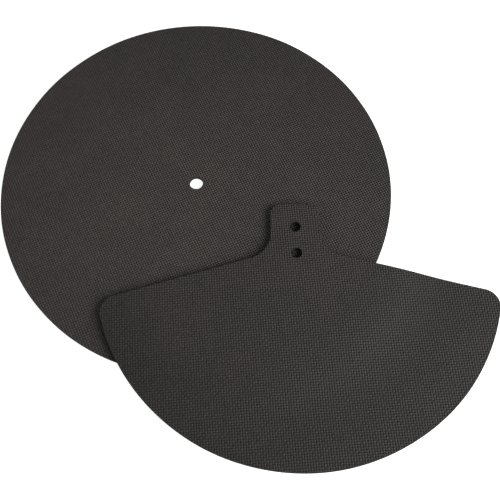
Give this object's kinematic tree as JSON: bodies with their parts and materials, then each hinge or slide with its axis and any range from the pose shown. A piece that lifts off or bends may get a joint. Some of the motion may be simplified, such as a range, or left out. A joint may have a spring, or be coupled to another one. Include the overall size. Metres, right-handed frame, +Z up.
{
  "type": "drum practice mute set",
  "caption": "Round foam mat with a central rod hole, and a half-moon foam mat with a neck and stud holes lying partly on it; both mute a drum kit.",
  "frame": {"origin": "centre of the round mat's rod hole, on the mat's underside, which lies on the plane Z = 0", "axes": "+Z up, along the rod hole and square to the mats; the half-moon mat lies towards -Y with its neck pointing to +Y"},
  "size_m": [0.4405, 0.4337, 0.0083],
  "materials": {
    "foam_round": "matt charcoal closed-cell foam rubber, embossed all over with a fine plain weave",
    "foam_half_moon": "matt charcoal closed-cell foam rubber, embossed all over with a fine plain weave"
  },
  "bodies": {
    "round_mat": {"round_mat": "foam_round"},
    "half_moon_mat": {"half_moon_mat": "foam_half_moon"}
  },
  "joints": [
    {"name": "lift_off", "type": "slide", "parent": "round_mat", "child": "half_moon_mat", "axis": [0, 0, 1], "range_m": [0, 0.06]}
  ]
}
